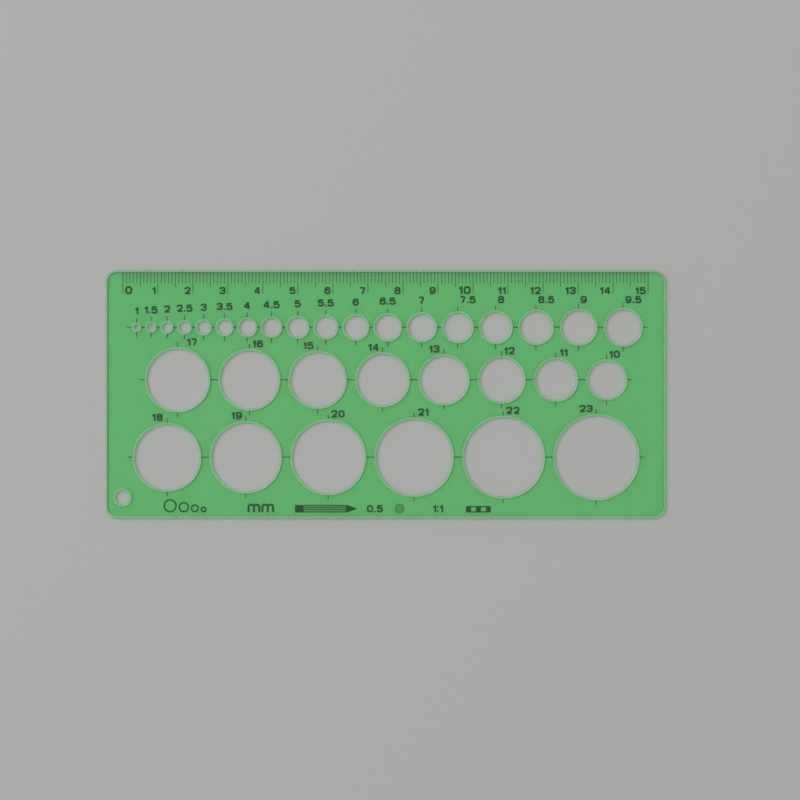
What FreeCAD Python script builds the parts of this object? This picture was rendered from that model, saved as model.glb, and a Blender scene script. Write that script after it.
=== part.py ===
# Circle template: a thin plastic plate with graded drawing holes and marks stamped flush in its underside.
#
# The plate lies flat. +Z is up, +X runs along the scale from 0 to 15 cm, +Y points at the scale edge,
# and the origin is the middle of the underside. All sizes are millimetres.
import FreeCAD, Part
import math
import os
import Sketcher
from FreeCAD import Placement, Rotation, Vector

DIMENSIONS = {
    # The moulding.
    "plate_length": 160.0,
    "plate_width": 71.0,
    "plate_thickness": 1.2,
    "corner_radius": 3.5,
    "bevel_width": 2.2,
    "bevel_edge_thickness": 0.3,
    "hanging_hole_diameter": 4.0,
    "hanging_hole_inset": 5.0,
    "hanging_hole_rise": 6.0,
    # A pencil lead is 0.5 mm across, so each hole is that much wider than the circle it draws.
    "pencil_allowance": 0.5,
    # Each row of holes: first size, step from size to size, first centre from the left side, distance
    # of the row's axis from the scale edge, and the web of plastic left between two holes.
    "small_first": 1.0,
    "small_step": 0.5,
    "small_start": 8.96,
    "small_drop": 16.43,
    "small_web": 2.2,
    "middle_first": 17.0,
    "middle_step": -1.0,
    "middle_start": 20.63,
    "middle_drop": 31.4,
    "middle_web": 3.5,
    "large_first": 18.0,
    "large_step": 1.0,
    "large_start": 17.65,
    "large_drop": 53.5,
    "large_web": 3.5,
    # In the small row the web is narrowest near this gap and widens with the square of the way from it.
    "narrowest_gap": 4.9,
    "web_widening": 0.0065,
    # The marks: foil stamped flush into the underside.
    "foil_depth": 0.05,
    "edge_margin": 0.1,
    "tick_line": 0.16,
    "millimetre_tick": 3.75,
    "five_millimetre_tick": 4.75,
    "centimetre_tick": 6.75,
    "scale_inset": 5.0,
    "centre_line": 0.2,
    "centre_tick": 1.8,
    "outer_dash": 1.9,
    "rim_margin": 0.15,
    # The numerals: their height, the gap from a tick, and how far they stand above a row's holes.
    "numeral_height": 2.1,
    "bold_numeral_height": 2.35,
    "numeral_gap": 0.65,
    "scale_numeral_drop": 7.0,
    "small_numeral_rise": 2.9,
    "small_numeral_ceiling": 6.85,
    "middle_numeral_rise": 0.95,
    "large_numeral_rise": 1.05,
    # The line of signs along the foot. Each sign's place is measured from the middle of the plate.
    "legend_rise": 1.7,
    "ring_symbol_left": -63.4,
    "ring_symbol_gap": 0.5,
    "ring_symbol_line": 0.42,
    "unit_mark_middle": -35.6,
    "unit_mark_height": 2.5,
    "pencil_left": -25.8,
    "pencil_right": -8.0,
    "pencil_collar": 2.4,
    "pencil_tip": 3.0,
    "pencil_line": 0.3,
    "allowance_middle": -3.0,
    "allowance_rings_middle": 4.0,
    "allowance_rings_line": 0.22,
    "drawn_ring_diameter": 1.47,
    "wider_ring_diameter": 2.62,
    "ratio_mark_middle": 15.0,
    "bar_left": 23.0,
    "bar_cell": 1.42,
    "bar_height": 1.8,
    "bar_line": 0.3,
}
ROWS = {"small": 18, "middle": 8, "large": 6}
SCALE_CENTIMETRES = 15
BOLD_CENTIMETRE = 10
RING_SYMBOL_DIAMETERS = (3.8, 3.0, 2.3, 1.7)
PENCIL_FACETS = 3
BAR_CELLS = 5
OPEN_BAR_CELLS = (1, 3)

# Where the numeral of each larger hole stands, across from the hole's tick.
NUMERAL_SHIFTS = {
    "middle": (4.2, 2.4, -2.65, -2.5, -2.7, 2.25, 2.25, 2.3),
    "large": (-2.75, -2.65, 2.75, 2.6, 2.7, -2.9),
}

# Stroke line, gap between two numerals and corner radii, as shares of the numeral height.
STROKE_SHARE = 0.23
SPACING_SHARE = 0.13
ROUND = 0.27
TIGHT = 0.125
# A stroke's corner takes at most this share of a run that ends the stroke or that two corners share.
END_RUN_SHARE = 0.95
SHARED_RUN_SHARE = 0.49
SHORTEST_RUN = 1e-3

# Each character's width as a share of its height, and its strokes as centre lines in a box one wide and one
# high. A point is (across, up) or (across, up, corner radius); a stroke marked "loop" is closed.
GLYPHS = {
    "0": (0.86, [("loop", [(0, 0), (1, 0), (1, 1), (0, 1)])]),
    "1": (0.46, [("open", [(1, -0.12), (1, 1.12)]), ("open", [(-0.3, 0.72), (0.3, 0.8), (1, 1)])]),
    "2": (0.86, [("open", [(0, 0.7), (0, 1), (1, 1), (1, 0.52), (0.05, 0)]), ("open", [(0, 0), (1.1, 0)])]),
    "3": (0.86, [
        ("open", [(0, 0.74), (0, 1), (1, 1), (1, 0.52), (0.3, 0.52)]),
        ("open", [(0.3, 0.52), (1, 0.52), (1, 0), (0, 0), (0, 0.26)]),
    ]),
    "4": (0.9, [
        ("open", [(0.72, -0.12), (0.72, 1.12)]),
        ("open", [(0.66, 1.05), (0, 0.3)]),
        ("open", [(-0.06, 0.24), (1.06, 0.24)]),
    ]),
    "5": (0.86, [
        ("open", [(0.98, 1), (0.06, 1, TIGHT), (0, 0.48)]),
        ("open", [(0, 0.5), (0.3, 0.62), (1, 0.62), (1, 0), (0, 0), (0, 0.24)]),
    ]),
    "6": (0.86, [
        ("loop", [(0, 0), (1, 0), (1, 0.6), (0, 0.6)]),
        ("open", [(1, 0.76), (1, 1), (0, 1), (0, 0.3)]),
    ]),
    "7": (0.82, [("open", [(-0.12, 1), (1, 1, TIGHT), (0.36, -0.1)])]),
    "8": (0.86, [
        ("loop", [(0, 0), (1, 0), (1, 0.54), (0, 0.54)]),
        ("loop", [(0.05, 0.54), (0.95, 0.54), (0.95, 1), (0.05, 1)]),
    ]),
    "9": (0.86, [
        ("loop", [(0, 0.4), (1, 0.4), (1, 1), (0, 1)]),
        ("open", [(0, 0.24), (0, 0), (1, 0), (1, 0.7)]),
    ]),
    "m": (1.45, [
        ("open", [(0, -0.12), (0, 1), (0.5, 1), (0.5, -0.12)]),
        ("open", [(0.5, -0.12), (0.5, 1), (1, 1), (1, -0.12)]),
    ]),
    ".": (0.22, [("open", [(0.5, -0.12), (0.5, 0.12)])]),
    ":": (0.22, [("open", [(0.5, 0.0), (0.5, 0.24)]), ("open", [(0.5, 0.66), (0.5, 0.9)])]),
}


def make_sheet(document):
    """Put every driving dimension in a spreadsheet cell of its own, under its name."""
    sheet = document.addObject("Spreadsheet::Sheet", "sizes")
    for line, (name, value) in enumerate(DIMENSIONS.items(), start=1):
        sheet.set(f"A{line}", name)
        sheet.set(f"B{line}", str(value))
        sheet.setAlias(f"B{line}", name)
    document.recompute()
    return sheet


def size(name):
    """A driving dimension, read from the spreadsheet."""
    return float(FreeCAD.ActiveDocument.sizes.get(name))


def new_body(document, label):
    body = document.addObject("PartDesign::Body", label)
    body.Label = label
    body.AllowCompound = True
    return body


def new_sketch(body, name, plane):
    """A sketch on one of the body's own origin planes."""
    sketch = body.newObject("Sketcher::SketchObject", name)
    origin_plane = next(item for item in body.Origin.OriginFeatures if item.Role == plane)
    sketch.AttachmentSupport = [(origin_plane, "")]
    sketch.MapMode = "FlatFace"
    return sketch


def bind(sketch, kind, references, name, value, expression):
    """Add a dimension to the sketch and drive it from the spreadsheet."""
    sketch.addConstraint(Sketcher.Constraint(kind, *references, value))
    sketch.renameConstraint(sketch.ConstraintCount - 1, name)
    sketch.setExpression(f"Constraints.{name}", expression)


def add_outline(sketch, corners):
    """Close a polygon of straight lines through the corners, and return the index of its first line."""
    first = sketch.GeometryCount
    count = len(corners)
    for k in range(count):
        sketch.addGeometry(Part.LineSegment(Vector(*corners[k], 0), Vector(*corners[(k + 1) % count], 0)))
    for k in range(count):
        sketch.addConstraint(Sketcher.Constraint("Coincident", first + k, 2, first + (k + 1) % count, 1))
    return first


def add_rectangle(sketch, left, foot, width, height):
    """An upright rectangle whose first line is its foot."""
    right, top = left + width, foot + height
    first = add_outline(sketch, [(left, foot), (right, foot), (right, top), (left, top)])
    for side, kind in enumerate(("Horizontal", "Vertical", "Horizontal", "Vertical")):
        sketch.addConstraint(Sketcher.Constraint(kind, first + side))
    return first


def row_layout(row):
    """The sizes in a row, and the place of each hole's centre along X."""
    first, step, start = size(f"{row}_first"), size(f"{row}_step"), size(f"{row}_start")
    nominal = [first + step * k for k in range(ROWS[row])]
    centres = [start - size("plate_length") / 2]
    for k in range(ROWS[row] - 1):
        web = size(f"{row}_web")
        if row == "small":
            web += size("web_widening") * (k - size("narrowest_gap")) ** 2
        pitch = (nominal[k] + nominal[k + 1]) / 2 + size("pencil_allowance") + web
        centres.append(centres[-1] + pitch)
    return nominal, centres


def web_expression(row, k):
    """The web between hole k - 1 and hole k, as an expression on the spreadsheet."""
    web = f"sizes.{row}_web"
    if row == "small":
        web += f" + sizes.web_widening * ({k - 1} - sizes.narrowest_gap)^2"
    return web


def row_axis(row):
    return size("plate_width") / 2 - size(f"{row}_drop")


def scale_zero():
    return size("scale_inset") - size("plate_length") / 2


def hole_radius(nominal):
    return (nominal + size("pencil_allowance")) / 2


def pocket_row(body, row):
    """Cut one row of drawing holes, chained from centre to centre by the webs between them."""
    sketch = new_sketch(body, f"{row}_row_holes", "XY_Plane")
    nominal, centres = row_layout(row)
    height = row_axis(row)
    for k, (diameter, x) in enumerate(zip(nominal, centres)):
        sketch.addGeometry(Part.Circle(Vector(x, height, 0), Vector(0, 0, 1), hole_radius(diameter)))
        here = f"(sizes.{row}_first + {k} * sizes.{row}_step)"
        bind(sketch, "Radius", (k,), f"radius_{k}", hole_radius(diameter),
             f"({here} + sizes.pencil_allowance) / 2")
        bind(sketch, "DistanceY", (-1, 1, k, 3), f"axis_{k}", height,
             f"sizes.plate_width / 2 - sizes.{row}_drop")
        if k == 0:
            bind(sketch, "DistanceX", (k, 3, -1, 1), "start", -x,
                 f"sizes.plate_length / 2 - sizes.{row}_start")
            continue
        bind(sketch, "DistanceX", (k - 1, 3, k, 3), f"pitch_{k}", x - centres[k - 1],
             f"{here} - sizes.{row}_step / 2 + sizes.pencil_allowance + {web_expression(row, k)}")
    return cut_through(body, sketch)


def cut_through(body, sketch):
    """Pocket the sketch right through the body, and check that it took plastic away."""
    before = body.Tip.Shape.Volume
    pocket = body.newObject("PartDesign::Pocket", f"cut_{sketch.Name}")
    pocket.Profile = sketch
    pocket.Type = "ThroughAll"
    pocket.Midplane = True
    FreeCAD.ActiveDocument.recompute()
    if not body.Tip.Shape.Volume < before:
        raise RuntimeError(f"{pocket.Name} cut nothing")
    return pocket


def make_plate(document):
    """The moulding: a rounded slab, bevelled along the scale edge, with its holes."""
    body = new_body(document, "plate_blank")
    outline = new_sketch(body, "outline", "XY_Plane")
    length, width = size("plate_length"), size("plate_width")
    add_rectangle(outline, -length / 2, -width / 2, length, width)
    outline.addConstraint(Sketcher.Constraint("Symmetric", 0, 1, 2, 1, -1, 1))
    bind(outline, "DistanceX", (0, 1, 0, 2), "length", length, "sizes.plate_length")
    bind(outline, "DistanceY", (1, 1, 1, 2), "width", width, "sizes.plate_width")
    slab = body.newObject("PartDesign::Pad", "slab")
    slab.Profile = outline
    slab.setExpression("Length", "sizes.plate_thickness")
    document.recompute()

    upright = [
        f"Edge{k}" for k, edge in enumerate(slab.Shape.Edges, start=1)
        if abs(edge.tangentAt(edge.FirstParameter).z) > 0.9
    ]
    corners = body.newObject("PartDesign::Fillet", "corners")
    corners.Base = (slab, upright)
    corners.setExpression("Radius", "sizes.corner_radius")
    document.recompute()

    bevel = new_sketch(body, "bevel", "YZ_Plane")
    edge_y, face_z = width / 2, size("plate_thickness")
    reach, land = size("bevel_width"), size("bevel_edge_thickness")
    add_outline(bevel, [(edge_y - reach, face_z), (edge_y, land), (edge_y, face_z)])
    bevel.addConstraint(Sketcher.Constraint("Vertical", 1))
    bevel.addConstraint(Sketcher.Constraint("Horizontal", 2))
    bind(bevel, "DistanceX", (0, 1, 0, 2), "reach", reach, "sizes.bevel_width")
    bind(bevel, "DistanceY", (1, 1, 1, 2), "fall", face_z - land,
         "sizes.plate_thickness - sizes.bevel_edge_thickness")
    bind(bevel, "DistanceX", (-1, 1, 0, 2), "edge", edge_y, "sizes.plate_width / 2")
    bind(bevel, "DistanceY", (-1, 1, 1, 2), "face", face_z, "sizes.plate_thickness")
    cut_through(body, bevel)

    for row in ROWS:
        pocket_row(body, row)

    hanging = new_sketch(body, "hanging_hole", "XY_Plane")
    side = length / 2 - size("hanging_hole_inset")
    foot = width / 2 - size("hanging_hole_rise")
    radius = size("hanging_hole_diameter") / 2
    hanging.addGeometry(Part.Circle(Vector(-side, -foot, 0), Vector(0, 0, 1), radius))
    bind(hanging, "Radius", (0,), "radius", radius, "sizes.hanging_hole_diameter / 2")
    bind(hanging, "DistanceX", (0, 3, -1, 1), "from_middle", side,
         "sizes.plate_length / 2 - sizes.hanging_hole_inset")
    bind(hanging, "DistanceY", (0, 3, -1, 1), "below_middle", foot,
         "sizes.plate_width / 2 - sizes.hanging_hole_rise")
    cut_through(body, hanging)
    return body


def make_ticks(document, label, tick, first, group, spacing, repeats):
    """Scale ticks: a group of ticks 1 mm apart from `first`, repeated along the scale."""
    body = new_body(document, label)
    sketch = new_sketch(body, f"{label}_group", "XY_Plane")
    line, long = size("tick_line"), size(tick)
    top = size("plate_width") / 2 - size("edge_margin")
    zero = scale_zero()
    for k in range(group):
        left = zero + first + k - line / 2
        foot = add_rectangle(sketch, left, top - long, line, long)
        bind(sketch, "DistanceX", (foot, 1, foot, 2), f"line_{k}", line, "sizes.tick_line")
        bind(sketch, "DistanceY", (foot + 1, 1, foot + 1, 2), f"tick_{k}", long, f"sizes.{tick}")
        bind(sketch, "DistanceY", (-1, 1, foot + 1, 2), f"top_{k}", top,
             "sizes.plate_width / 2 - sizes.edge_margin")
        bind(sketch, "DistanceX", (foot, 1, -1, 1), f"place_{k}", -left,
             f"sizes.plate_length / 2 - sizes.scale_inset - {first + k} + sizes.tick_line / 2")
    foil = body.newObject("PartDesign::Pad", f"{label}_foil")
    foil.Profile = sketch
    foil.setExpression("Length", "sizes.foil_depth")
    document.recompute()
    pattern = body.newObject("PartDesign::LinearPattern", f"{label}_along_scale")
    pattern.Originals = [foil]
    pattern.Direction = (sketch, ["H_Axis"])
    pattern.Length = spacing * (repeats - 1)
    pattern.Occurrences = repeats
    body.Tip = pattern
    return body


def unit(vector):
    return vector * (1 / vector.Length)


def left_of(direction):
    return Vector(-direction.y, direction.x, 0)


def path_pieces(points, closed):
    """Runs and tangent arcs through the points, each as (start, end, normals at both, arc or None)."""
    count = len(points)
    corners = range(count) if closed else range(1, count - 1)
    ends = () if closed else (0, count - 1)
    entry = {0: points[0][0]}
    leave = {count - 1: points[-1][0]}
    arcs = {}
    for k in corners:
        here, radius = points[k]
        before, after = (k - 1) % count, (k + 1) % count
        inward, outward = unit(here - points[before][0]), unit(points[after][0] - here)
        turn = inward.x * outward.y - inward.y * outward.x
        half_turn = math.acos(max(-1, min(1, inward.dot(outward)))) / 2
        room = [
            (points[other][0] - here).Length * (END_RUN_SHARE if other in ends else SHARED_RUN_SHARE)
            for other in (before, after)
        ]
        reach = min(radius * math.tan(half_turn), *room)
        radius = reach / math.tan(half_turn)
        entry[k], leave[k] = here + outward * reach, here - inward * reach
        sign = 1 if turn > 0 else -1
        centre = leave[k] + left_of(inward) * (sign * radius)
        arcs[k] = (leave[k], entry[k], left_of(inward), left_of(outward), centre, here, sign * radius)
    pieces = []
    for k in range(count if closed else count - 1):
        following = (k + 1) % count
        start, end = entry[k], leave[following]
        side = left_of(unit(points[following][0] - points[k][0]))
        if (end - start).Length > SHORTEST_RUN:
            pieces.append((start, end, side, side, None))
        if following in arcs:
            arc_start, arc_end, first_side, last_side, centre, corner, bend = arcs[following]
            pieces.append((arc_start, arc_end, first_side, last_side, (centre, corner, bend)))
    return pieces


def side_edges(pieces, offset):
    """Edges that run beside the path at an offset, positive to its left."""
    edges = []
    for start, end, first_side, last_side, arc in pieces:
        a, b = start + first_side * offset, end + last_side * offset
        if arc is None:
            edges.append(Part.makeLine(a, b))
            continue
        centre, corner, bend = arc
        middle = centre + unit(corner - centre) * abs(bend - offset)
        edges.append(Part.Arc(a, middle, b).toShape())
    return edges


def stroke(points, closed, width, depth):
    """A stroke of foil of one width along a rounded path."""
    pieces = path_pieces(points, closed)
    left, right = side_edges(pieces, width / 2), side_edges(pieces, -width / 2)
    if closed:
        faces = [Part.Face(Part.Wire(edges)) for edges in (left, right)]
        faces.sort(key=lambda face: face.Area)
        face = faces[1].cut(faces[0])
        return face.extrude(Vector(0, 0, depth))
    start, end = pieces[0], pieces[-1]
    half = width / 2
    cap = Part.makeLine(end[1] + end[3] * half, end[1] - end[3] * half)
    foot = Part.makeLine(start[0] - start[2] * half, start[0] + start[2] * half)
    outline = Part.Wire(Part.sortEdges(left + right + [cap, foot])[0])
    return Part.Face(outline).extrude(Vector(0, 0, depth))


def merge(solids):
    """One solid from overlapping ones."""
    whole = solids[0]
    if len(solids) > 1:
        whole = whole.fuse(solids[1:]).removeSplitter()
    return whole


def glyph_width(character, height):
    return GLYPHS[character][0] * height


def glyph(character, height, line, left, foot):
    """One numeral or letter of foil, its box's lower left corner at (left, foot)."""
    across, up = glyph_width(character, height) - line, height - line
    corner_radius = ROUND * height
    strokes = []
    for kind, marks in GLYPHS[character][1]:
        points = []
        for mark in marks:
            place = Vector(left + line / 2 + mark[0] * across, foot + line / 2 + mark[1] * up, 0)
            points.append((place, mark[2] * height if len(mark) > 2 else corner_radius))
        strokes.append(stroke(points, kind == "loop", line, size("foil_depth")))
    return merge(strokes)


def lettering(text, height, anchor, foot, align):
    """Glyph solids for a text whose left side, middle or right side is at the anchor."""
    line, gap = STROKE_SHARE * height, SPACING_SHARE * height
    total = sum(glyph_width(character, height) for character in text) + gap * (len(text) - 1)
    left = anchor - {"left": 0, "middle": 0.5, "right": 1}[align] * total
    solids = []
    for character in text:
        solids += glyph(character, height, line, left, foot).Solids
        left += glyph_width(character, height) + gap
    return solids


def add_foil(document, label, solids):
    """A node of stamped foil islands."""
    node = document.addObject("Part::Feature", label)
    node.Label = label
    node.Shape = Part.makeCompound(solids)
    node.Placement = Placement(Vector(0, 0, 0), Rotation())
    return node


def add_bar(document, label, left, foot, width, height):
    """A straight line of foil as a box. Its width and height are expressions on the spreadsheet."""
    bar = document.addObject("Part::Box", label)
    bar.setExpression("Length", width)
    bar.setExpression("Width", height)
    bar.setExpression("Height", "sizes.foil_depth")
    bar.Placement = Placement(Vector(left, foot, 0), Rotation())
    return bar


def dash_length(row, k):
    """The length of the axis line that ends at hole k: the first is an outer dash, the others cross a web."""
    return f"{web_expression(row, k)} - 2 * sizes.rim_margin" if k else "sizes.outer_dash"


def make_centre_marks(document, row):
    """Ticks above and below each hole, and the row's axis drawn on the webs between holes."""
    nominal, centres = row_layout(row)
    axis, line, tick = row_axis(row), size("centre_line"), size("centre_tick")
    dash, margin = size("outer_dash"), size("rim_margin")
    bars = []
    reach = centres[0] - hole_radius(nominal[0]) - margin - dash
    for k, (diameter, x) in enumerate(zip(nominal, centres)):
        clear = hole_radius(diameter) + margin
        for name, foot in (("above", axis + clear), ("below", axis - clear - tick)):
            bars.append(add_bar(document, f"{row}_tick_{name}_{k}", x - line / 2, foot,
                                "sizes.centre_line", "sizes.centre_tick"))
        bars.append(add_bar(document, f"{row}_axis_{k}", reach, axis - line / 2,
                            dash_length(row, k), "sizes.centre_line"))
        reach = x + clear
    bars.append(add_bar(document, f"{row}_axis_end", reach, axis - line / 2,
                        "sizes.outer_dash", "sizes.centre_line"))
    node = document.addObject("Part::Compound", f"{row}_row_centre_marks")
    node.Label = f"{row}_row_centre_marks"
    node.Links = bars
    return node


def size_text(value):
    return f"{value:g}"


def make_small_numerals(document):
    """Sizes over the small holes, or to the right of the tick where the scale leaves no room above it."""
    nominal, centres = row_layout("small")
    ceiling = size("small_numeral_ceiling")
    solids = []
    for diameter, x in zip(nominal, centres):
        rise = hole_radius(diameter) + size("small_numeral_rise")
        anchor, align = (x + size("numeral_gap"), "left") if rise > ceiling else (x, "middle")
        foot = row_axis("small") + min(rise, ceiling)
        solids += lettering(size_text(diameter), size("numeral_height"), anchor, foot, align)
    return add_foil(document, "small_row_numerals", solids)


def make_side_numerals(document, row):
    """Sizes above the larger holes, each beside its tick on the side that its shift gives."""
    nominal, centres = row_layout(row)
    solids = []
    for diameter, x, shift in zip(nominal, centres, NUMERAL_SHIFTS[row]):
        foot = row_axis(row) + hole_radius(diameter) + size(f"{row}_numeral_rise")
        solids += lettering(size_text(diameter), size("numeral_height"), x + shift, foot, "middle")
    return add_foil(document, f"{row}_row_numerals", solids)


def make_scale_numerals(document):
    """Centimetres along the scale: 0 stands to the right of its tick, the others to the left."""
    foot = size("plate_width") / 2 - size("scale_numeral_drop")
    gap, bold_height = size("numeral_gap"), size("bold_numeral_height")
    solids = lettering("0", bold_height, scale_zero() + gap, foot, "left")
    for centimetre in range(1, SCALE_CENTIMETRES + 1):
        height = bold_height if centimetre == BOLD_CENTIMETRE else size("numeral_height")
        solids += lettering(str(centimetre), height, scale_zero() + 10 * centimetre - gap, foot, "right")
    return add_foil(document, "scale_numerals", solids)


def ring(centre_x, centre_y, diameter, line):
    outer = Part.makeCylinder(diameter / 2, size("foil_depth"), Vector(centre_x, centre_y, 0))
    inner = Part.makeCylinder(diameter / 2 - line, size("foil_depth"), Vector(centre_x, centre_y, 0))
    return outer.cut(inner)


def slab(left, foot, width, height):
    return Part.makeBox(width, height, size("foil_depth"), Vector(left, foot, 0))


def legend_foot():
    return size("legend_rise") - size("plate_width") / 2


def make_ring_symbol(document):
    """Four rings, largest first, standing on one line: the sign of a circle template."""
    left = size("ring_symbol_left")
    solids = []
    for diameter in RING_SYMBOL_DIAMETERS:
        middle, centre = left + diameter / 2, legend_foot() + diameter / 2
        solids.append(ring(middle, centre, diameter, size("ring_symbol_line")))
        left += diameter + size("ring_symbol_gap")
    return add_foil(document, "ring_symbol", solids)


def make_unit_mark(document):
    place = size("unit_mark_middle")
    solids = lettering("mm", size("unit_mark_height"), place, legend_foot(), "middle")
    return add_foil(document, "unit_mark", solids)


def make_pencil_mark(document):
    """A pencil, the half millimetre that its lead takes, and the wider and the drawn circle."""
    foot, height, line = legend_foot(), size("numeral_height"), size("pencil_line")
    left, tip = size("pencil_left"), size("pencil_right")
    top, middle = foot + height, foot + height / 2
    shoulder = tip - size("pencil_tip")
    outline = [(left, foot), (shoulder, foot), (tip, middle), (shoulder, top), (left, top), (left, foot)]
    pencil = Part.Face(Part.makePolygon([Vector(x, y, 0) for x, y in outline]))
    pencil = pencil.extrude(Vector(0, 0, size("foil_depth")))
    facet_left = left + size("pencil_collar")
    facet_width = shoulder - line - facet_left
    facet_height = (height - line) / PENCIL_FACETS - line
    windows = [
        slab(facet_left, foot + line + k * (facet_height + line), facet_width, facet_height)
        for k in range(PENCIL_FACETS)
    ]
    solids = pencil.cut(Part.makeCompound(windows)).Solids
    solids += lettering("0.5", height, size("allowance_middle"), foot, "middle")
    for diameter in (size("wider_ring_diameter"), size("drawn_ring_diameter")):
        place = size("allowance_rings_middle")
        solids.append(ring(place, middle, diameter, size("allowance_rings_line")))
    return add_foil(document, "pencil_allowance_mark", solids)


def make_ratio_mark(document):
    place = size("ratio_mark_middle")
    solids = lettering("1:1", size("numeral_height"), place, legend_foot(), "middle")
    return add_foil(document, "full_size_mark", solids)


def make_bar_mark(document):
    """A bar of solid and open cells in turn."""
    left, foot = size("bar_left"), legend_foot()
    cell, height, line = size("bar_cell"), size("bar_height"), size("bar_line")
    bar = slab(left, foot, BAR_CELLS * cell, height)
    windows = [slab(left + k * cell, foot + line, cell, height - 2 * line) for k in OPEN_BAR_CELLS]
    return add_foil(document, "bar_mark", [bar.cut(Part.makeCompound(windows))])


def make_marks(document):
    """Every node of foil."""
    return [
        make_ticks(document, "millimetre_marks", "millimetre_tick", 1, 4, 5, 2 * SCALE_CENTIMETRES),
        make_ticks(document, "five_millimetre_marks", "five_millimetre_tick", 5, 1, 10, SCALE_CENTIMETRES),
        make_ticks(document, "centimetre_marks", "centimetre_tick", 0, 1, 10, SCALE_CENTIMETRES + 1),
        make_scale_numerals(document),
        make_centre_marks(document, "small"),
        make_small_numerals(document),
        make_centre_marks(document, "middle"),
        make_side_numerals(document, "middle"),
        make_centre_marks(document, "large"),
        make_side_numerals(document, "large"),
        make_ring_symbol(document),
        make_unit_mark(document),
        make_pencil_mark(document),
        make_ratio_mark(document),
        make_bar_mark(document),
    ]


def inlay_plate(document, blank, marks):
    """The finished plate: the moulding less the recesses that the foil fills."""
    foil = document.addObject("Part::Compound", "all_foil")
    foil.Links = marks
    plate = document.addObject("Part::Cut", "plate")
    plate.Label = "plate"
    plate.Base = blank
    plate.Tool = foil
    return plate


def check(document, nodes):
    for item in document.Objects:
        faults = {"Invalid", "Error"} & set(item.State)
        if faults:
            raise RuntimeError(f"{item.Name}: {faults}")
    for node in nodes:
        if node.Shape.isNull() or not node.Shape.isValid():
            raise RuntimeError(f"{node.Label}: its shape is null or not valid")


def main():
    document = FreeCAD.newDocument("circle_template")
    make_sheet(document)
    marks = make_marks(document)
    nodes = [inlay_plate(document, make_plate(document), marks)] + marks
    document.recompute()
    check(document, nodes)
    os.makedirs("parts", exist_ok=True)
    for node in nodes:
        node.Shape.exportStep(f"parts/{node.Label}.step")
        print(f"{node.Label}: {len(node.Shape.Solids)} solids, {node.Shape.Volume:.3f} mm3")


main()
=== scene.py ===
# %% [markdown]
# # A circle template
#
# A circle template is a drafting tool: a thin plate of clear green plastic with a graded set of round
# holes, a ruler along one edge, and dark marks stamped into its underside. This lesson builds its looks
# round a finished engineering model, which gives every size and place. Blender adds the fine mesh of
# the plate, the optics of tinted plastic, the worn foil of the marks, and the light.

# %% Load the engineering model
import math

import bpy
import numpy as np
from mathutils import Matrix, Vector, geometry


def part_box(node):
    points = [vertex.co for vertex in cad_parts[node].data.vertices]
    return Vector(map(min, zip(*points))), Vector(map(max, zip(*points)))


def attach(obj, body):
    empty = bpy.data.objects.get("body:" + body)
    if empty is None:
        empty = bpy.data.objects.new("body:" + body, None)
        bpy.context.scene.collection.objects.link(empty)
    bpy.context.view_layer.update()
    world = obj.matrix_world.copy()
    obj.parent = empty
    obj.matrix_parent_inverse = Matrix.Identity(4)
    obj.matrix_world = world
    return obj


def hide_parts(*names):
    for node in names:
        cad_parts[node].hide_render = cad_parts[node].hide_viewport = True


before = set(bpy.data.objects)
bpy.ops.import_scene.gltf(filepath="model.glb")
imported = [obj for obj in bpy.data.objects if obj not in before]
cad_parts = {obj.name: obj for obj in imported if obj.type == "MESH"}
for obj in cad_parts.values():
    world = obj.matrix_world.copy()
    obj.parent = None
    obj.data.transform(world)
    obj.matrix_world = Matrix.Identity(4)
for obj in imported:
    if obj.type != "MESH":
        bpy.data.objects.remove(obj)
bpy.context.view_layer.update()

MM = 0.001

# %% [markdown]
# ## The sizes that drive the plate
#
# The outside of the plate is read from the engineering model. The pattern of the holes is a rule, not a
# list: each hole is 0.5 mm wider than the circle it draws, because a pencil lead takes that much, and
# the next centre follows after half of each circle, that allowance, and a web of plastic. So three
# short rows of numbers give all 32 drawing holes.

# %% Plate sizes
plate_low, plate_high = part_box("plate")
LENGTH, WIDTH, THICKNESS = (plate_high[k] - plate_low[k] for k in range(3))
CORNER_RADIUS = 3.5 * MM
BEVEL_WIDTH = 2.2 * MM
BEVEL_EDGE = 0.3 * MM
UPPER_ROUND = 0.65 * MM
LOWER_ROUND = 0.12 * MM
ROUND_LIMIT = 0.45
ALLOWANCE = 0.5 * MM
HANGING_HOLE = ((5.0 * MM - LENGTH / 2, 6.0 * MM - WIDTH / 2), 2.0 * MM)
NARROWEST_GAP = 4.9
WEB_WIDENING = 0.0065
ROWS = {
    # name: (first size, step, number of holes, first centre from the left, axis below the scale edge, web)
    "small": (1.0, 0.5, 18, 8.96, 16.43, 2.2),
    "middle": (17.0, -1.0, 8, 20.63, 31.4, 3.5),
    "large": (18.0, 1.0, 6, 17.65, 53.5, 3.5),
}


def row_holes(row):
    """Centre and radius of each hole in a row, in metres.

    A pitch is the mean of two sizes, plus the allowance, plus the web. The small row's web widens with the
    square of the way from its narrowest gap.
    """
    first, step, count, start, drop, web = ROWS[row]
    gap = np.arange(count - 1)
    nominal = first + step * np.arange(count)
    webs = web + (WEB_WIDENING * (gap - NARROWEST_GAP) ** 2 if row == "small" else 0.0)
    pitch = (nominal[:-1] + nominal[1:]) / 2 + ALLOWANCE / MM + webs
    across = start * MM - LENGTH / 2 + MM * np.concatenate([[0.0], np.cumsum(pitch)])
    up = WIDTH / 2 - drop * MM
    return [((x, up), (size * MM + ALLOWANCE) / 2) for x, size in zip(across, nominal)]


HOLES = [hole for row in ROWS for hole in row_holes(row)] + [HANGING_HOLE]
print(f"{len(HOLES)} holes, from {2 * HOLES[0][1] / MM:.1f} to {2 * HOLES[-2][1] / MM:.1f} mm across")

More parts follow.
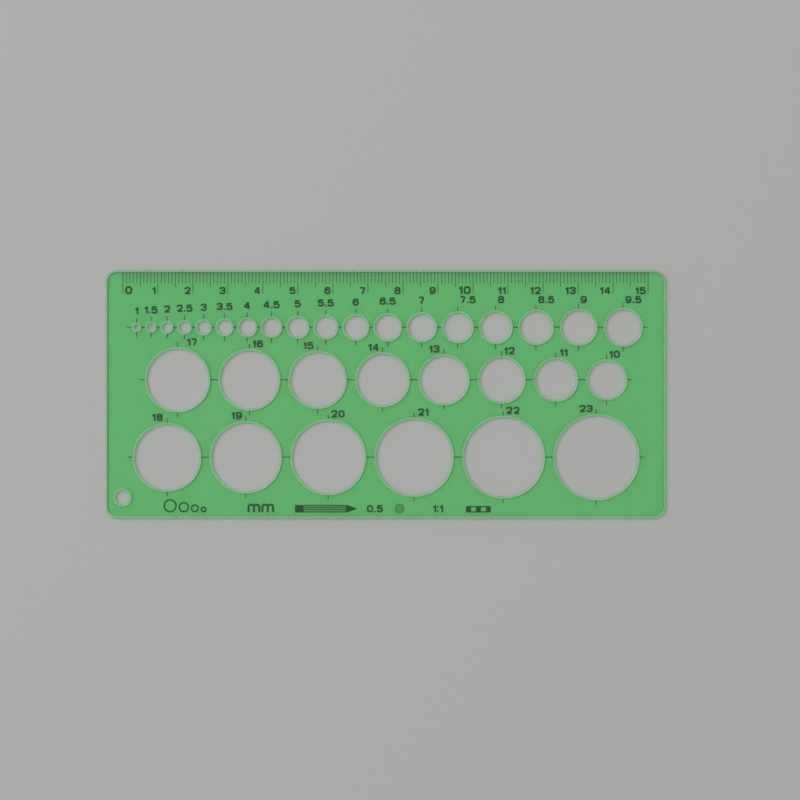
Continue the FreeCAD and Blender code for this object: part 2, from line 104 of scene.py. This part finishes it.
# %% [markdown]
# ## Edges as a profile carried round a ring
#
# A moulded edge is never a razor: a round joins the wall to each face, broad above, where the mould
# opens, and tight below. That round is what catches the light as a pale line. A Bevel modifier could
# cut it, but over 33 holes and a slanting face it leaves uneven corners. Here every wall is one small
# profile carried round a closed ring. The way round the ring is one parameter and the way down the
# profile is the other, and numpy works out the whole grid at once.

# %% The edge profile
UPPER_STEPS = 6
LOWER_STEPS = 3
WALL_STEPS = 3
CROWDING = 1.5
CREASE = WIDTH / 2 - BEVEL_WIDTH


def top_height(up):
    """Height of the upper face: level, then falling in a straight line over the bevel to the scale edge."""
    fall = np.clip((up - CREASE) / BEVEL_WIDTH, 0.0, 1.0)
    return THICKNESS - fall * (THICKNESS - BEVEL_EDGE)


def round_angles(steps):
    """Angles t from 0 at the face to 90 degrees at the wall: 90 s^1.5 for even s, closer near the face."""
    return math.pi / 2 * np.linspace(0, 1, steps + 1) ** CROWDING


def wall_grid(ring, inward):
    """Carry the edge profile round a ring of n points: an n x m x 3 array.

    Each round is a quarter of an ellipse, w wide and d deep. At an angle t from 0 to 90 degrees it is
    set back from the wall by w (1 - sin t) and lies d (1 - cos t) from its face. Between the rounds the
    wall runs straight. d is w, or a share of the plate's thickness where that is less.
    """
    t, u = round_angles(UPPER_STEPS), round_angles(LOWER_STEPS)[::-1]
    share = np.linspace(0, 1, WALL_STEPS + 1)[1:-1]
    thickness = top_height(ring[:, 1])[:, None]
    above = np.minimum(UPPER_ROUND, ROUND_LIMIT * thickness)
    below = np.minimum(LOWER_ROUND, ROUND_LIMIT * thickness)
    set_back = np.concatenate([UPPER_ROUND * (1 - np.sin(t)), 0 * share, LOWER_ROUND * (1 - np.sin(u))])
    flat = ring[:, None, :] + inward[:, None, :] * set_back[:, None]
    upper = top_height(flat[:, : len(t), 1]) - above * (1 - np.cos(t))
    lower = below * (1 - np.cos(u))
    middle = upper[:, -1:] * (1 - share) + lower[:, :1] * share
    return np.concatenate([flat, np.hstack([upper, middle, lower])[..., None]], axis=2)


print(f"the profile has {wall_grid(np.zeros((1, 2)), np.zeros((1, 2))).shape[1]} points")

# %% [markdown]
# ## The rings
#
# A hole's ring is a circle. The outline's ring is a rounded rectangle: four arcs, with points along the
# straight sides so that the mesh stays even. Where the two arcs at the scale edge meet the crease of
# the bevel they get a point exactly on it, so that the crease can be a true edge of the mesh.

# %% Ring points
RING_SPACING = 0.28 * MM
SIDE_SPACING = 1.0 * MM
FEWEST_RING_POINTS = 48
POINTS_IN_STEPS_OF = 8
CORNER_POINTS = 25


def circle_ring(centre, radius):
    """Even points of a circle, and the way into the plastic at each: straight out from the centre."""
    wanted = 2 * math.pi * radius / RING_SPACING
    count = max(FEWEST_RING_POINTS, POINTS_IN_STEPS_OF * math.ceil(wanted / POINTS_IN_STEPS_OF))
    angle = 2 * math.pi * np.arange(count) / count
    outward = np.stack([np.cos(angle), np.sin(angle)], axis=1)
    return np.array(centre) + radius * outward, outward


def outline_ring():
    """Points of the rounded rectangle, anticlockwise, and the way into the plastic at each.

    A corner is an arc about its own centre. A straight side joins the end of one arc to the next.
    """
    crease_angle = math.asin((CREASE - WIDTH / 2 + CORNER_RADIUS) / (CORNER_RADIUS - UPPER_ROUND))
    points, inward = [], []
    for quarter, (side_x, side_y) in enumerate(((1, 1), (-1, 1), (-1, -1), (1, -1))):
        angle = quarter * math.pi / 2 + np.linspace(0, math.pi / 2, CORNER_POINTS)
        if side_y > 0:
            target = crease_angle if side_x > 0 else math.pi - crease_angle
            angle[np.argmin(abs(angle - target))] = target
        outward = np.stack([np.cos(angle), np.sin(angle)], axis=1)
        centre = [side_x * (LENGTH / 2 - CORNER_RADIUS), side_y * (WIDTH / 2 - CORNER_RADIUS)]
        points.append(np.array(centre) + CORNER_RADIUS * outward)
        inward.append(-outward)
        straight = (LENGTH if quarter % 2 == 0 else WIDTH) - 2 * CORNER_RADIUS
        along = np.linspace(0, straight, math.ceil(straight / SIDE_SPACING) + 1)[1:-1]
        forward = np.array([-outward[-1][1], outward[-1][0]])
        points.append(points[-1][-1] + along[:, None] * forward)
        inward.append(np.repeat(-outward[-1:], len(along), axis=0))
    return np.concatenate(points), np.concatenate(inward)


rings = [outline_ring()] + [circle_ring(*hole) for hole in HOLES]
print(f"{len(rings)} rings with {sum(len(points) for points, _ in rings)} points")

# %% [markdown]
# ## The flat faces between the rings
#
# The upper and lower faces are flat sheets with 33 holes. A fill made from the rings alone has long
# thin triangles, which shade badly and make a poor mesh to hand on. So a loose net of points is laid
# between the rings first, and one Delaunay triangulation joins net and rings, with the rings and the
# bevel's crease as edges that it must keep. The lower face is done the same way, on its own slightly
# wider rings.

# %% The net of inner points
NET_SPACING = 1.6 * MM
LINE_SHARE = 0.87
NET_MARGIN = 0.7 * MM
NET_BATCHES = 40
TOUCHING = 1e-8
INSIDE = 1


def net_points(boundary):
    """A staggered net over the plate, less the points that are too close to a ring or to the crease.

    Every second line of the net is moved by half a space, and lines are 0.87 of a space apart, so that its
    triangles are nearly equilateral.
    """
    lines = np.arange(-WIDTH / 2, WIDTH / 2, LINE_SHARE * NET_SPACING)
    columns = np.arange(-LENGTH / 2, LENGTH / 2, NET_SPACING)
    x, y = np.meshgrid(columns, lines)
    x = x + (np.arange(len(lines)) % 2)[:, None] * NET_SPACING / 2
    net = np.stack([x.ravel(), y.ravel()], axis=1)
    gap = np.concatenate([
        np.sqrt(((part[:, None, :] - boundary[None, :, :]) ** 2).sum(axis=2)).min(axis=1)
        for part in np.array_split(net, NET_BATCHES)
    ])
    return net[(gap > NET_MARGIN) & (abs(net[:, 1] - CREASE) > NET_MARGIN)]


def cap_triangles(loops, creased):
    """Triangulate the region inside the first loop, less the triangles whose middle is in a hole.

    Gives the points and each triangle's three point numbers. The points of the loops come first, in order.
    """
    boundary = np.concatenate(loops)
    points = np.concatenate([boundary, net_points(boundary)])
    edges, first = [], 0
    for loop in loops:
        numbers = np.arange(len(loop))
        edges += np.stack([first + numbers, first + (numbers + 1) % len(loop)], axis=1).tolist()
        first += len(loop)
    if creased:
        edges.append(np.flatnonzero(abs(loops[0][:, 1] - CREASE) < TOUCHING).tolist())
    found = geometry.delaunay_2d_cdt([Vector(point) for point in points], edges, [], INSIDE, TOUCHING)
    triangles = np.array(found[2])
    middle = points[triangles].mean(axis=1)
    for loop in loops[1:]:
        centre = loop.mean(axis=0)
        outside = np.hypot(*(middle - centre).T) > np.hypot(*(loop[0] - centre))
        middle, triangles = middle[outside], triangles[outside]
    used = np.unique(triangles)
    if len(found[0]) != len(points) or used[len(boundary) - 1] != len(boundary) - 1:
        raise RuntimeError("the triangulation moved or left out a point of a ring")
    renumber = np.zeros(len(points), int)
    renumber[used] = np.arange(len(used))
    return points[used], renumber[triangles]


upper_points, upper_faces = cap_triangles([wall_grid(*ring)[:, 0, :2] for ring in rings], creased=True)
lower_points, lower_faces = cap_triangles([wall_grid(*ring)[:, -1, :2] for ring in rings], creased=False)
print(f"{len(upper_faces)} triangles in the upper face, {len(lower_faces)} in the lower")

# %% [markdown]
# ## One closed mesh
#
# The walls and the two faces share their points along the rims, so the plate is one watertight surface
# with no doubles to merge. A wall runs round its ring one way and down the profile the other way. The
# outline runs anticlockwise seen from above and its wall faces outwards. The holes run anticlockwise
# too, but their walls face inwards to the middle of the hole, so their quads are wound the other way.

# %% Build the plate


def plate_mesh(name):
    """Join the faces and the wall grids. A wall's first and last rows are rim points of the faces."""
    upper = np.column_stack([upper_points, top_height(upper_points[:, 1])])
    lower = np.column_stack([lower_points, np.zeros(len(lower_points))])
    vertices, quads = [upper, lower], []
    edge = [np.zeros(len(upper) + len(lower))]
    total, rim = len(upper) + len(lower), 0
    for number, ring in enumerate(rings):
        grid = wall_grid(*ring)
        around, down = grid.shape[:2]
        inner = total + np.arange(around * (down - 2)).reshape(around, down - 2)
        rim_numbers = rim + np.arange(around)
        index = np.column_stack([rim_numbers, inner, rim_numbers + len(upper)])
        following = np.roll(index, -1, axis=0)
        corners = [index[:, :-1], index[:, 1:], following[:, 1:], following[:, :-1]]
        quad = np.stack(corners, axis=-1).reshape(-1, 4)
        quads.append(quad if number == 0 else quad[:, ::-1])
        vertices.append(grid[:, 1:-1].reshape(-1, 3))
        edge.append(np.ones(inner.size))
        total += inner.size
        rim += around
    flat_faces = upper_faces.tolist() + (lower_faces[:, ::-1] + len(upper)).tolist()
    faces = flat_faces + np.concatenate(quads).tolist()
    mesh = bpy.data.meshes.new(name)
    mesh.from_pydata(np.concatenate(vertices).tolist(), [], faces)
    mesh.polygons.foreach_set("use_smooth", np.arange(len(faces)) >= len(flat_faces))
    mesh.attributes.new("cut_edge", "FLOAT", "POINT").data.foreach_set("value", np.concatenate(edge))
    mesh.update()
    return mesh


def link(mesh, name):
    """An object for a mesh, in the scene at the origin."""
    piece = bpy.data.objects.new(name, mesh)
    bpy.context.scene.collection.objects.link(piece)
    return piece


plate = link(plate_mesh("moulded_plate"), "moulded_plate")
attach(plate, "root")
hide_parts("plate")
corner = np.zeros(len(plate.data.vertices) * 3)
plate.data.vertices.foreach_get("co", corner)
reach = np.ptp(corner.reshape(-1, 3), axis=0) / MM
print(f"{len(plate.data.polygons)} faces, {reach[0]:.2f} x {reach[1]:.2f} x {reach[2]:.2f} mm")

# %% [markdown]
# ## Small helpers for shader nodes
#
# Every finish below is a short chain of nodes. These helpers make a node, set its sockets, and join two
# sockets, so that each chain reads from top to bottom. Patterns use Object coordinates: they are real
# metres on the object, so a scale of 1000 means one cell to a millimetre, and the pattern stays put in
# every view.

# %% Node helpers


def new_material(name):
    """An empty node material with its output, and its node tree."""
    material = bpy.data.materials.new(name)
    material.use_nodes = True
    tree = material.node_tree
    tree.nodes.clear()
    return material, tree, tree.nodes.new("ShaderNodeOutputMaterial")


def add(tree, kind, settings=(), **sockets):
    """A node of a kind. Settings are its properties; sockets are named with _ for a space."""
    node = tree.nodes.new("ShaderNode" + kind)
    for name, value in dict(settings).items():
        setattr(node, name, value)
    for name, value in sockets.items():
        socket = node.inputs[name.replace("_", " ")]
        if isinstance(value, bpy.types.NodeSocket):
            tree.links.new(value, socket)
        else:
            socket.default_value = value
    return node


def place(tree, scale=(1, 1, 1), turn=0.0):
    """Object coordinates, scaled and turned about the upright axis by an angle in degrees."""
    coordinates = add(tree, "TexCoord")
    mapping = add(tree, "Mapping", Vector=coordinates.outputs["Object"], Scale=scale)
    mapping.inputs["Rotation"].default_value = (0, 0, math.radians(turn))
    return mapping.outputs["Vector"]


def noise(tree, vector, scale, detail=2.0, roughness=0.5):
    """Smooth noise about 0.5, with that many cells to a metre."""
    node = add(tree, "TexNoise", Vector=vector, Scale=scale, Detail=detail, Roughness=roughness)
    return node.outputs["Fac"]


def remap(tree, value, low, high, to_low, to_high):
    """Stretch a value from one range to another, clamped at the ends of the new range."""
    node = add(tree, "MapRange", Value=value, From_Min=low, From_Max=high, To_Min=to_low, To_Max=to_high)
    return node.outputs["Result"]


print("helpers: new_material, add, place, noise, remap")

# %% [markdown]
# ## Clear green plastic
#
# The plate is acrylic, dyed right through. Paint on the surface would look the same at every thickness,
# but a dye does not: the bevelled edge is paler because light crosses less plastic there. So the colour
# sits in a Volume Absorption inside the mesh, where brightness falls by exp(-(1 - colour) x density x
# path), and the surface itself stays nearly clear. The edges of the holes and of the plate keep a fine
# frosting from the tool, which makes them rough. Their pale whitish tint is partly that frosting and
# partly a painted highlight, standing in for the light that the rims catch. Handling leaves a haze and
# hair scratches on the faces.

# %% The plastic
REFRACTIVE_INDEX = 1.49
DYE_DENSITY = 535.0
DYE_COLOUR = (0.03, 1.0, 0.20)


def frost_and_painted_highlight(tree, cut, roughness, relief):
    """The scattering skin: a trace of green milk on the faces, and rough tool frosting on the cut edges
    whose pale tint is partly a painted highlight.
    """
    tint = add(tree, "Mix", {"data_type": "RGBA"})
    tree.links.new(cut, tint.inputs[0])
    tint.inputs[6].default_value = (0.08, 0.85, 0.25, 1)
    # The pale second colour tints the edge frosting and is partly a painted highlight.
    tint.inputs[7].default_value = (0.6, 1.0, 0.67, 1)
    return add(tree, "BsdfPrincipled", Base_Color=tint.outputs[2], IOR=REFRACTIVE_INDEX,
               Roughness=roughness, Normal=relief)


def green_plastic():
    """Clear dyed plastic, mixed by the cut_edge attribute with tool frosting and a painted highlight, with
    haze, waves and scratches.
    """
    material, tree, output = new_material("clear_green_plastic")
    cut = add(tree, "Attribute", {"attribute_name": "cut_edge"}).outputs["Fac"]
    tool_marks = noise(tree, place(tree, (1.0, 1.0, 6.0)), 2600.0, detail=3.0, roughness=0.65)
    frost_and_highlight = add(tree, "Math", {"operation": "MULTIPLY"})
    tree.links.new(cut, frost_and_highlight.inputs[0])
    tree.links.new(remap(tree, tool_marks, 0.3, 0.7, 0.6, 0.95), frost_and_highlight.inputs[1])
    haze = noise(tree, place(tree), 55.0, detail=4.0, roughness=0.6)
    handled = remap(tree, haze, 0.35, 0.75, 0.03, 0.11)
    roughness = add(tree, "Math", {"operation": "ADD"})
    tree.links.new(handled, roughness.inputs[0])
    tree.links.new(remap(tree, frost_and_highlight.outputs[0], 0.0, 1.0, 0.0, 0.3), roughness.inputs[1])
    waves = noise(tree, place(tree), 90.0)
    scratch_one = noise(tree, place(tree, (40.0, 2400.0, 1.0), 24.0), 1.0, detail=1.0)
    scratch_two = noise(tree, place(tree, (30.0, 1900.0, 1.0), -61.0), 1.0, detail=1.0)
    scratches = add(tree, "Math", {"operation": "MAXIMUM"})
    for socket, pattern in zip(scratches.inputs, (scratch_one, scratch_two)):
        tree.links.new(remap(tree, pattern, 0.72, 0.8, 0.0, 1.0), socket)
    wavy = add(tree, "Bump", Strength=1.0, Distance=0.004 * MM, Height=waves)
    scored = add(tree, "Bump", Strength=0.4, Distance=0.002 * MM, Height=scratches.outputs[0],
                 Normal=wavy.outputs["Normal"]).outputs["Normal"]
    clear = add(tree, "BsdfPrincipled", Base_Color=(0.98, 1.0, 0.98, 1), IOR=REFRACTIVE_INDEX,
                Transmission_Weight=1.0, Roughness=roughness.outputs[0], Normal=scored)
    # Where cut_edge is high the pale frosting takes over: rough, and partly a painted highlight.
    surface = add(tree, "MixShader", Fac=remap(tree, frost_and_highlight.outputs[0], 0.0, 1.0, 0.015, 0.95))
    tree.links.new(clear.outputs[0], surface.inputs[1])
    tree.links.new(frost_and_painted_highlight(tree, cut, roughness.outputs[0], scored).outputs[0], surface.inputs[2])
    dye = add(tree, "VolumeAbsorption", Color=(*DYE_COLOUR, 1), Density=DYE_DENSITY)
    tree.links.new(surface.outputs[0], output.inputs["Surface"])
    tree.links.new(dye.outputs[0], output.inputs["Volume"])
    return material


plate.data.materials.append(green_plastic())
passed = [round(math.exp(-(1 - colour) * DYE_DENSITY * THICKNESS), 2) for colour in DYE_COLOUR]
print("straight through the plate the dye passes", passed, "of red, green and blue")

# %% [markdown]
# ## Stamped foil
#
# The numerals, ticks and centre lines are pressed into the underside with a hot die and a dark foil.
# Their shapes come from the engineering model and stay as they are. Close up, foil has a slight grain
# and tiny pinholes where it did not take, so its colour and roughness vary at a tenth of a millimetre.

# %% The foil


def marking_foil():
    """A dark green foil, paler where its grain and its patches are both high."""
    material, tree, output = new_material("dark_stamped_foil")
    grain = noise(tree, place(tree), 9000.0, detail=3.0, roughness=0.7)
    patches = noise(tree, place(tree), 400.0, detail=2.0)
    thin = add(tree, "Math", {"operation": "MULTIPLY"})
    tree.links.new(remap(tree, grain, 0.55, 0.8, 0.0, 1.0), thin.inputs[0])
    tree.links.new(remap(tree, patches, 0.4, 0.7, 0.15, 0.8), thin.inputs[1])
    colour = add(tree, "Mix", {"data_type": "RGBA"})
    tree.links.new(thin.outputs[0], colour.inputs[0])
    colour.inputs[6].default_value = (0.003, 0.1, 0.015, 1)
    colour.inputs[7].default_value = (0.012, 0.17, 0.04, 1)
    relief = add(tree, "Bump", Strength=0.5, Distance=0.003 * MM, Height=grain)
    foil = add(tree, "BsdfPrincipled", Base_Color=colour.outputs[2], Normal=relief.outputs["Normal"],
               Roughness=remap(tree, grain, 0.3, 0.7, 0.45, 0.65))
    tree.links.new(foil.outputs[0], output.inputs["Surface"])
    return material


foil = marking_foil()
marks = [node for name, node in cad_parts.items() if name != "plate"]
for mark in marks:
    mark.data.materials.clear()
    mark.data.materials.append(foil)
print(f"{len(marks)} nodes of foil")

# %% [markdown]
# ## The floor
#
# A clear object shows mostly what lies under it, so the floor is part of its looks: a plain pale sheet.
# A flat mesh is enough, since the fibres of paper are far too small to model and a bump gives them. It
# lies a hair below the plate, as a sheet under a template that isn't quite flat, so the two never share
# a face.

# %% Floor
FLOOR_GAP = 0.08 * MM
FLOOR_HALF = 1.5


def paper_floor():
    """A pale sheet with a fine relief of fibres."""
    material, tree, output = new_material("pale_paper")
    fibres = noise(tree, place(tree), 1500.0, detail=5.0, roughness=0.65)
    relief = add(tree, "Bump", Strength=0.25, Distance=0.02 * MM, Height=fibres)
    sheet = add(tree, "BsdfPrincipled", Base_Color=(0.80, 0.80, 0.785, 1), Roughness=0.9,
                Normal=relief.outputs["Normal"])
    tree.links.new(sheet.outputs[0], output.inputs["Surface"])
    return material


signs = ((-1, -1), (1, -1), (1, 1), (-1, 1))
floor_corners = [(x * FLOOR_HALF, y * FLOOR_HALF, -FLOOR_GAP) for x, y in signs]
floor_mesh = bpy.data.meshes.new("floor")
floor_mesh.from_pydata(floor_corners, [], [(0, 1, 2, 3)])
floor = link(floor_mesh, "floor")
floor.data.materials.append(paper_floor())
print(f"floor {2 * FLOOR_HALF:.0f} m square")

# %% [markdown]
# ## The light
#
# Broad soft light suits a flat shiny object, because a small lamp would show as a glare. An even sky
# fills the shadows. One large soft box, up and to the left, gives the edges of the holes a bright side
# and a thin shadow. A weaker card overhead mirrors in the faces and gives the plastic its sheen.

# %% Light
SKY_STRENGTH = 0.333
world = bpy.data.worlds.new("even_sky")
world.use_nodes = True
world.node_tree.nodes["Background"].inputs["Color"].default_value = (1.0, 1.0, 0.995, 1)
world.node_tree.nodes["Background"].inputs["Strength"].default_value = SKY_STRENGTH
bpy.context.scene.world = world


def soft_box(name, position, side, watts):
    """A square area light that faces the middle of the plate."""
    data = bpy.data.lights.new(name, "AREA")
    data.size = side
    data.energy = watts
    lamp = bpy.data.objects.new(name, data)
    lamp.location = position
    lamp.rotation_euler = (-Vector(position)).to_track_quat("-Z", "Y").to_euler()
    bpy.context.scene.collection.objects.link(lamp)


soft_box("key_soft_box", (-0.9, 0.6, 1.35), 0.9, 5.35)
soft_box("overhead_card", (0.0, 0.0, 2.0), 1.2, 1.9)
print("two soft boxes and an even sky")

# %% [markdown]
# ## The camera
#
# The camera looks straight down, as on a copy stand, and its lens is worked out from its height and the
# width that it has to take in. Two settings of the renderer matter for clear plastic. Light that enters
# the bevel bounces along inside the plate many times, so more inner bounces are allowed than usual, or
# the bevel would turn black. And glossy paths aren't blurred, or much of the light under the plate
# would be lost.

# %% Camera
CAMERA_HEIGHT = 0.6
SENSOR_WIDTH = 36.0
VIEW_WIDTH = 228.15 * MM
VIEW_CENTRE = (4.15 * MM, -1.7 * MM)
INNER_BOUNCES = 24
camera_data = bpy.data.cameras.new("copy_stand")
camera_data.sensor_width = SENSOR_WIDTH
camera_data.lens = SENSOR_WIDTH * (CAMERA_HEIGHT - THICKNESS) / VIEW_WIDTH
camera = bpy.data.objects.new("copy_stand", camera_data)
camera.location = (*VIEW_CENTRE, CAMERA_HEIGHT)
bpy.context.scene.collection.objects.link(camera)
bpy.context.scene.camera = camera
bpy.context.scene.view_settings.view_transform = "Standard"
paths = bpy.context.scene.cycles
paths.blur_glossy = 0.0
paths.max_bounces = INNER_BOUNCES
paths.glossy_bounces = INNER_BOUNCES
paths.transmission_bounces = INNER_BOUNCES
print(f"lens {camera_data.lens:.1f} mm")
